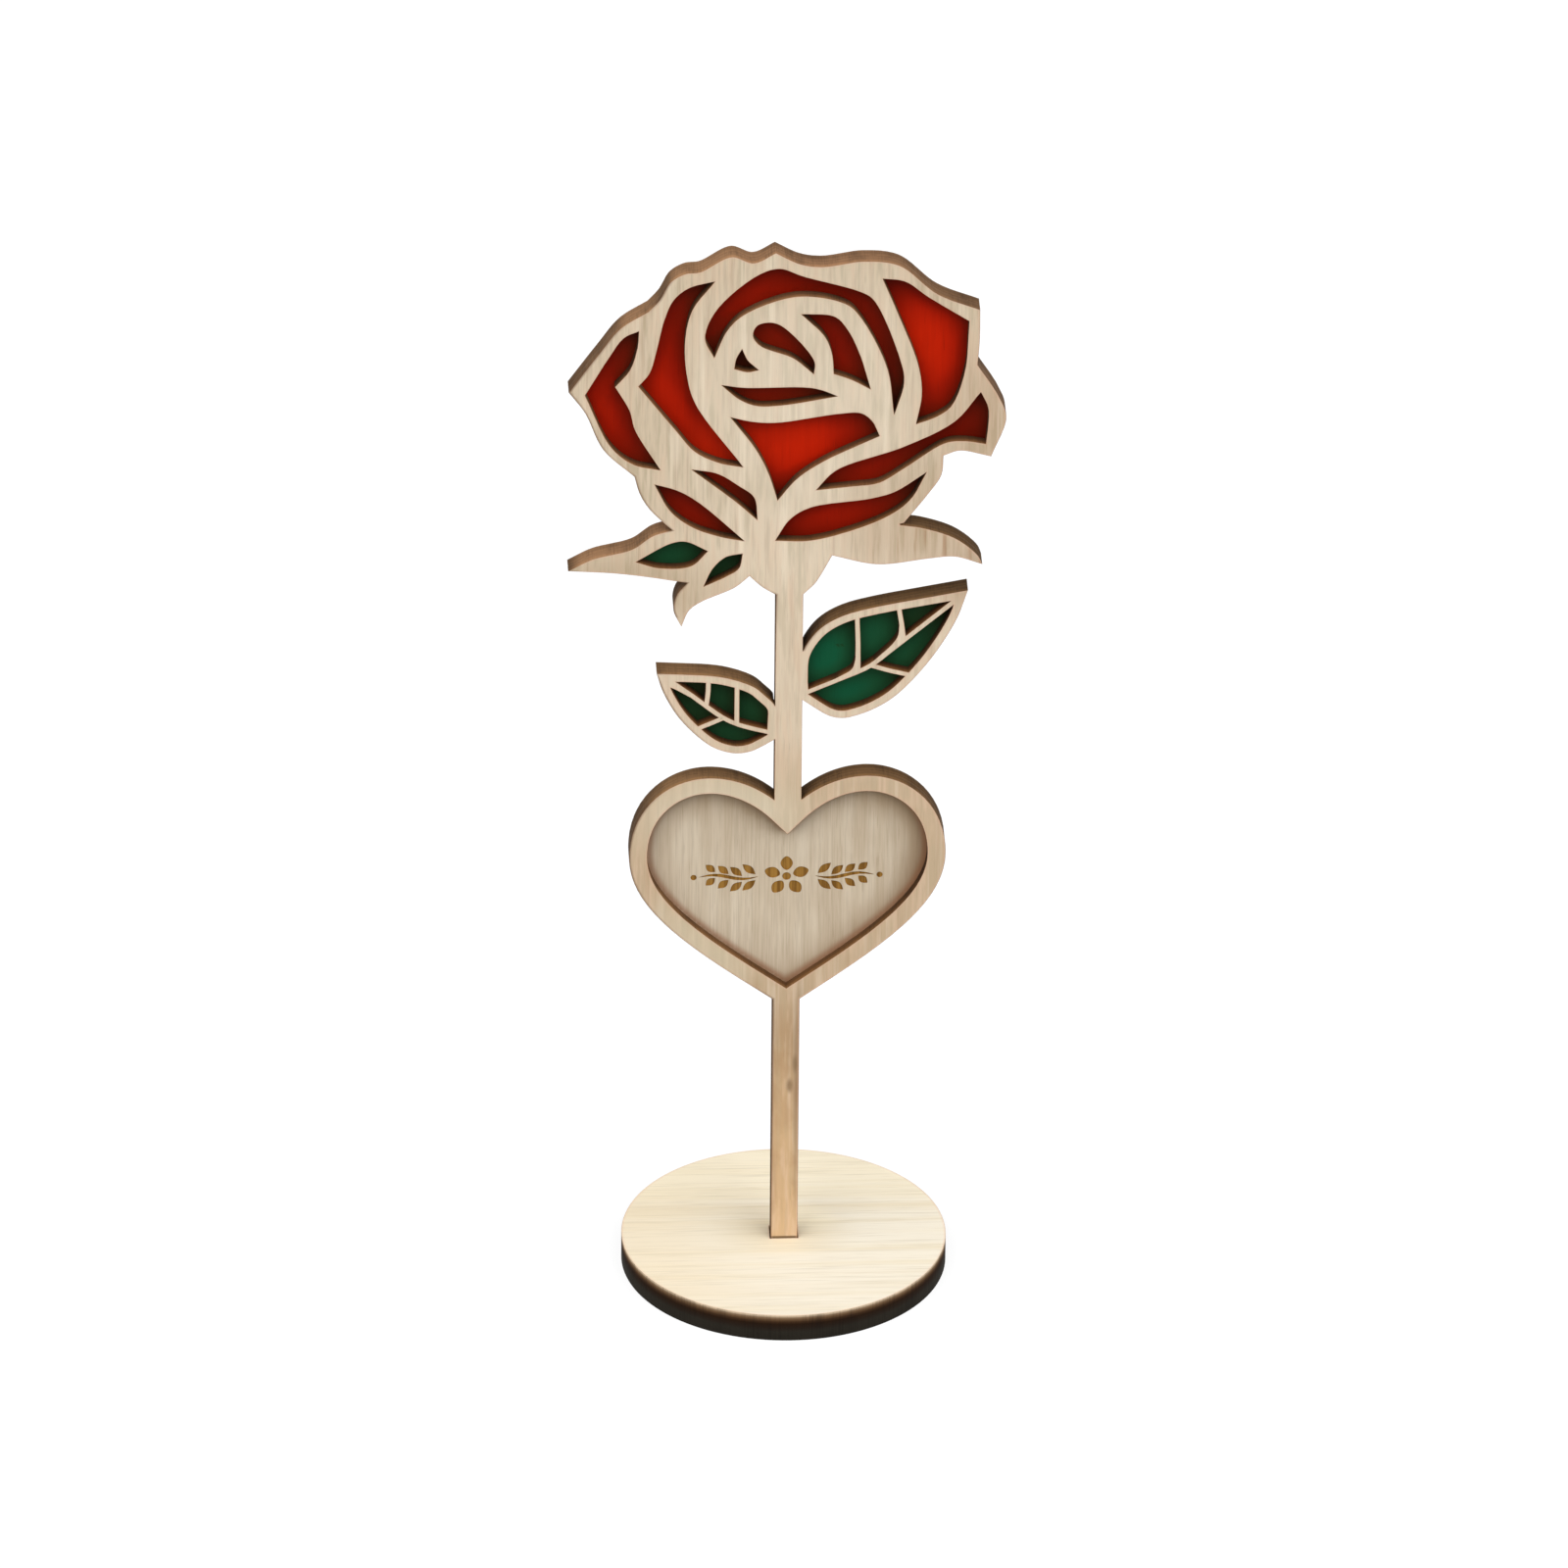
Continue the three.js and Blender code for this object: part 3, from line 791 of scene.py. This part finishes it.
def ringed_rim(board, rim, outwards, inwards, toast):
    """Rounds a rim and adds its toasted ring. Gives the ring's inner edges, which bound the flat face."""
    for vert in corners(rim):
        vert.co -= outwards * RIM_ROUND
    for number in range(RIM_STEPS):
        before, after = [math.pi / 2 * count / RIM_STEPS for count in (number, number + 1)]
        step = RIM_ROUND * (math.cos(before) - math.cos(after))
        rise = outwards * RIM_ROUND * (math.sin(after) - math.sin(before))
        rim = grow_ring(board, rim, inwards, step, rise)
    rim = grow_ring(board, rim, inwards, TOAST_WIDTH, Vector())
    for vert in corners(rim):
        vert[toast] = 0
    return rim


def ringed_board(node, through):
    """Walls and rings of a board. Gives the mesh and the bounds of its two open faces, low side first."""
    board = board_walls(node, through)
    mark_openings(board)
    inwards = mark_inwards(board, through)
    toast = board.verts.layers.float.new("toast")
    for vert in board.verts:
        vert[toast] = 1
    middle = sum(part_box(node), Vector()).dot(through) / 2
    rims = {-1: [], 1: []}
    for edge in board.edges:
        if edge.is_boundary:
            rims[1 if edge.verts[0].co.dot(through) > middle else -1].append(edge)
    return board, [ringed_rim(board, rims[side], side * through, inwards, toast) for side in rims]


# %% From mesh to finished piece
SHARP_TURN = math.radians(50)


def close_faces(board, through, *bounds):
    """Fills the flat faces. Slot 0 goes on them, slot 1 on walls and rims, which are shaded smooth."""
    for rim in bounds:
        bmesh.ops.triangle_fill(board, use_beauty=True, edges=rim, normal=-through)
    bmesh.ops.recalc_face_normals(board, faces=board.faces)
    board.normal_update()
    for face in board.faces:
        face.smooth = not is_flat(face, through)
        face.material_index = int(face.smooth)
    for edge in board.edges:
        edge.smooth = edge.calc_face_angle(0) < SHARP_TURN


def piece_from(board, name, *slots):
    mesh = bpy.data.meshes.new(name)
    board.to_mesh(mesh)
    board.free()
    for slot in slots:
        mesh.materials.append(finishes[slot])
    for helper in ("custom_normal", "inwards"):
        mesh.attributes.remove(mesh.attributes[helper])
    piece = bpy.data.objects.new(name, mesh)
    bpy.context.collection.objects.link(piece)
    return piece


def stands_for(piece, node, body):
    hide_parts(node)
    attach(piece, body)
    print(f"{piece.name}: {len(piece.data.polygons)} faces, stands for {node}")


# %% [markdown]
# ## Painted shade in the nooks behind the fretwork
# In the photograph every opening is bright in its middle and dark along its walls, and narrow slits are dark
# all over. The lamps' shade does part of that, and painted shade does the rest. A shader can't know where the
# walls are, so the mesh is told: rays go out from every point along the board, and the nearer the walls they
# meet, the more of a nook the point is and the darker its painted shade. Rays to the lower left count least,
# because along those walls the photograph is clearest. A mesh keeps such numbers for its points only, so each
# face behind the fretwork is first scored into small squares, which have points all over.

# %% Score a board's front into squares
FRONT_TO_BACK = Vector((0, 1, 0))
SQUARE = 1.2 * MM


def front_faces(board):
    return [face for face in board.faces if face.normal.dot(FRONT_TO_BACK) < -FLAT]


def score(board):
    faces = front_faces(board)
    edges = dict.fromkeys(edge for face in faces for edge in face.edges)
    pieces = faces + list(edges) + list(dict.fromkeys(vert for edge in edges for vert in edge.verts))
    for axis in (Vector((1, 0, 0)), Vector((0, 0, 1))):
        places = [vert.co.dot(axis) for vert in board.verts]
        for number in range(1, math.ceil((max(places) - min(places)) / SQUARE)):
            cut = axis * (min(places) + number * SQUARE)
            scored = bmesh.ops.bisect_plane(board, geom=pieces, dist=WELD, plane_co=cut, plane_no=axis)
            pieces = scored["geom"]


# %% Measure the nooks with rays
NOOK_REACH = 16 * MM
RAYS = 16
OFF_THE_WALL = 0.5 * MM
WALL_SHADE_REACH = 5 * MM
LEAST_SHADE_SIDE = math.radians(210)
front_middle = (front_low.y + front_high.y) / 2
fretwork_walls = BVHTree.FromBMesh(board_walls("front_fretwork", FRONT_TO_BACK))
turns = [number * math.tau / RAYS for number in range(RAYS)]
ways = [Vector((math.cos(turn), 0, math.sin(turn))) for turn in turns]


def mark_nooks(board, lean):
    """Stores 0 on the front where no wall is within reach and up to 1 in the tightest corners, for painted
    shade.
    `lean` is how much less the walls count on the side that gets the least painted shade.
    A second number, `wall`, is 1 at a wall and fades to 0 at `WALL_SHADE_REACH` from it."""
    weights = [1 - lean * (0.5 + 0.5 * math.cos(turn - LEAST_SHADE_SIDE)) ** 2 for turn in turns]
    nook = board.verts.layers.float.new("nook")
    nearness = board.verts.layers.float.new("wall")
    score(board)
    for vert in {vert for face in front_faces(board) for vert in face.verts}:
        start = Vector((vert.co.x, front_middle, vert.co.z))
        wall, out_of_wood, _, far = fretwork_walls.find_nearest(start)
        vert[nearness] = max(0, 1 - far / WALL_SHADE_REACH)
        if (start - wall).dot(out_of_wood) < OFF_THE_WALL:
            start = wall + out_of_wood * OFF_THE_WALL
        met = [fretwork_walls.ray_cast(start, way, NOOK_REACH)[3] for way in ways]
        free = [1 if distance is None else distance / NOOK_REACH for distance in met]
        vert[nook] = 1 - sum(weight * share for weight, share in zip(weights, free)) / sum(weights)


# %% [markdown]
# ## The flower
# The front board is one piece of fretwork. The boards behind it are an inlay: red behind the petals, green
# behind the calyx and leaves, and plain strips behind the stem. They all go through the same steps, so a
# table of names and finishes and one loop make them.

# %% Front fretwork and the boards behind it
STAIN_LEAN = 0.6

# Node, name of the piece, finish of its faces, slot
flower_boards = [
    ("front_fretwork", "fretwork_board", "pale_veneer", "pale_veneer"),
    ("rose_backing", "red_petal_board", "red_stain", "red_stain"),
    ("calyx_backing", "green_calyx_board", "green_stain", "green_stain"),
    ("upper_stem_backing", "upper_stem_strip", "pale_veneer", "pale_veneer"),
    ("left_leaf_backing", "left_leaf_board", "green_stain", "green_stain"),
    ("right_leaf_backing", "right_leaf_board", "green_stain", "green_stain"),
    ("lower_stem_backing", "lower_stem_strip", "pale_veneer", "warm_veneer"),
]
for node, name, face_finish, slot in flower_boards:
    board, bounds = ringed_board(node, FRONT_TO_BACK)
    close_faces(board, FRONT_TO_BACK, *bounds)
    if face_finish.endswith("stain"):
        mark_nooks(board, STAIN_LEAN)
    stands_for(piece_from(board, name, face_finish, "charred_plies"), node, "flower")

# %% [markdown]
# ## The heart board and its ornament
# The board behind the heart frame has a shallow engraving, a small rosette between two leafy sprigs. Every
# petal, leaf and berry is a circle, squeezed and turned. Their outlines lie in the open face of the board
# before it is filled, so the fill leaves them out as holes, and each hole is then sunk and closed. A Boolean
# could cut them too, but it leaves long slivers that shade badly.

# %% Outlines of petals, leaves and berries
ROUND_SIDES = 24


def outline(board, length, width, centre, lean=0, pinch=0, wave=0):
    """Oval in the X-Z plane with its ends drawn to points by `pinch` and its middle line bent by `wave`."""
    oval = bmesh.ops.create_circle(board, segments=ROUND_SIDES, radius=0.5)["verts"]
    for vert in oval:
        vert.co.y *= width * (1 - pinch * (2 * vert.co.x) ** 2)
        vert.co.y += wave * math.sin(math.tau * vert.co.x)
        vert.co.x *= length
    bmesh.ops.rotate(board, matrix=Matrix.Rotation(lean, 3, "Z"), verts=oval)
    bmesh.ops.rotate(board, matrix=Matrix.Rotation(math.pi / 2, 3, "X"), verts=oval)
    bmesh.ops.translate(board, vec=centre, verts=oval)
    return list(dict.fromkeys(edge for vert in oval for edge in vert.link_edges))


# %% Rosette in the middle
ROSETTE_PETALS = 5
PETAL_LENGTH = 4.4 * MM
PETAL_WIDTH = 3.4 * MM
PETAL_REACH = 4.1 * MM
PETAL_PINCH = 0.3
ROSETTE_EYE = 2.4 * MM


def rosette(board, middle):
    edges = outline(board, ROSETTE_EYE, ROSETTE_EYE, middle)
    for number in range(ROSETTE_PETALS):
        lean = math.pi / 2 + number * math.tau / ROSETTE_PETALS
        outwards = Vector((math.cos(lean), 0, math.sin(lean)))
        centre = middle + outwards * PETAL_REACH
        edges += outline(board, PETAL_LENGTH, PETAL_WIDTH, centre, lean, PETAL_PINCH)
    return edges


# %% A leafy sprig to each side
STALK_LENGTH = 16.4 * MM
STALK_WIDTH = 1.1 * MM
STALK_REACH = 16 * MM
STALK_WAVE = 0.7 * MM
STALK_PINCH = 0.6
LEAF_PAIRS = 4
LEAF_STEP = 3.7 * MM
FIRST_LEAF = 8.6 * MM
LONGEST_LEAF = 4.8 * MM
LEAF_SHRINK = 0.45 * MM
LEAF_WIDTH = 2.2 * MM
LEAF_PINCH = 0.75
LEAF_LEAN = math.radians(42)
BRIDGE = 0.4 * MM
BERRY = 1.7 * MM
BERRY_REACH = 25.6 * MM


def sprig(board, middle, side):
    """`side` is 1 for the right sprig and -1 for the left one."""
    stalk_middle = middle + Vector((side * STALK_REACH, 0, 0))
    bent = side * STALK_WAVE
    edges = outline(board, STALK_LENGTH, STALK_WIDTH, stalk_middle, pinch=STALK_PINCH, wave=bent)
    for number in range(LEAF_PAIRS):
        length = LONGEST_LEAF - LEAF_SHRINK * number
        root = FIRST_LEAF + LEAF_STEP * number
        bend = STALK_WAVE * math.sin(math.tau * (root - STALK_REACH) / STALK_LENGTH)
        reach = root + length / 2 * math.cos(LEAF_LEAN)
        for half in (1, -1):
            rise = bend + half * (STALK_WIDTH / 2 + BRIDGE + length / 2 * math.sin(LEAF_LEAN))
            lean = half * LEAF_LEAN if side > 0 else math.pi - half * LEAF_LEAN
            centre = middle + Vector((side * reach, 0, rise))
            edges += outline(board, length, LEAF_WIDTH, centre, lean, LEAF_PINCH)
    return edges + outline(board, BERRY, BERRY, middle + Vector((side * BERRY_REACH, 0, 0)))


# %% Fill the heart board round the ornament and sink it
ENGRAVING_DEPTH = 0.3 * MM
ORNAMENT_RISE = 40 * MM
ENGRAVED_SLOT = 2
HEART_LEAN = 1
heart_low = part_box("heart_plate")[0]
middle = Vector((0, heart_low.y, heart_low.z + ORNAMENT_RISE))

board, (front_bound, back_bound) = ringed_board("heart_plate", FRONT_TO_BACK)
ornament = rosette(board, middle) + sprig(board, middle, 1) + sprig(board, middle, -1)
bmesh.ops.triangle_fill(board, use_beauty=True, edges=front_bound + ornament, normal=-FRONT_TO_BACK)
whole_faces = set(board.faces)
sunk = bmesh.ops.extrude_edge_only(board, edges=ornament)["geom"]
bottom = [item for item in sunk if isinstance(item, bmesh.types.BMEdge) and item.is_boundary]
bmesh.ops.translate(board, vec=FRONT_TO_BACK * ENGRAVING_DEPTH, verts=list(corners(bottom)))
bmesh.ops.triangle_fill(board, use_beauty=True, edges=bottom, normal=-FRONT_TO_BACK)
engraved = set(board.faces) - whole_faces
close_faces(board, FRONT_TO_BACK, back_bound)
for face in engraved:
    face.material_index = ENGRAVED_SLOT
mark_nooks(board, HEART_LEAN)
heart = piece_from(board, "heart_board", "heart_veneer", "charred_plies", "engraved_brown")
stands_for(heart, "heart_plate", "flower")

# %% [markdown]
# ## The foot
# The foot is a plywood disc with a slot right through it. It takes the same steps as the flower's boards,
# but it lies flat, so its faces look up and down and its own darker burn goes round the edge.

# %% Round foot
BOTTOM_TO_TOP = Vector((0, 0, 1))
board, bounds = ringed_board("foot_disc", BOTTOM_TO_TOP)
close_faces(board, BOTTOM_TO_TOP, *bounds)
foot = piece_from(board, "round_foot", "foot_veneer", "burnt_foot_edge")
stands_for(foot, "foot_disc", "foot")

# %% [markdown]
# ## The studio
# The photograph has a white ground and soft light from both sides and from above, so that the red and green
# boards are brightest in the middle of each opening and sink into shade under its walls. The softboxes are
# wide Sun lamps, because near lamps would leave the far floor grey. The floor glows a little, like a light
# table, which keeps it white, and it is left out of the light that the flower receives.

# %% Floor
FLOOR_SIDE = 40
FLOOR_GAP = 0.05 * MM
FLOOR_GREY = (0.2, 0.2, 0.2, 1)
FLOOR_GLOW = 0.82
WHITE = (1, 1, 1, 1)
floor_shape = bmesh.new()
under_foot = Matrix.Translation((0, 0, -FLOOR_GAP))
bmesh.ops.create_grid(floor_shape, x_segments=1, y_segments=1, size=FLOOR_SIDE / 2, matrix=under_foot)
floor_mesh = bpy.data.meshes.new("floor")
floor_shape.to_mesh(floor_mesh)
floor_shape.free()
table_top, wire = new_finish("light_table")
surface(
    wire,
    Base_Color=FLOOR_GREY,
    Roughness=0.9,
    Specular_IOR_Level=0,
    Emission_Color=WHITE,
    Emission_Strength=FLOOR_GLOW,
)
floor_mesh.materials.append(table_top)
floor = bpy.data.objects.new("floor", floor_mesh)
floor.visible_diffuse = False
bpy.context.collection.objects.link(floor)
print("floor in metres:", FLOOR_SIDE)


# %% Softboxes
def softbox(name, azimuth, elevation, spread, brightness):
    """Angles are in degrees. `brightness` is that of a white card held square to the light."""
    light = bpy.data.lights.new(name, "SUN")
    light.angle = math.radians(spread)
    light.energy = brightness * math.pi
    lamp = bpy.data.objects.new(name, light)
    lamp.rotation_euler = (math.radians(90 - elevation), 0, math.radians(azimuth))
    bpy.context.collection.objects.link(lamp)
    print(f"{name}: {elevation} degrees up, brightness {brightness}")


softbox("softbox_above", azimuth=0, elevation=65, spread=60, brightness=0.34)
softbox("softbox_left", azimuth=-60, elevation=35, spread=70, brightness=0.52)
softbox("softbox_right", azimuth=60, elevation=35, spread=70, brightness=0.52)

# %% The room's own light
ROOM_LIGHT = 0.38
room = bpy.data.worlds.new("room")
room.use_nodes = True
background = room.node_tree.nodes["Background"]
background.inputs["Color"].default_value = WHITE
background.inputs["Strength"].default_value = ROOM_LIGHT
bpy.context.scene.world = room
bpy.context.scene.view_settings.view_transform = "Standard"
print("room light:", ROOM_LIGHT)
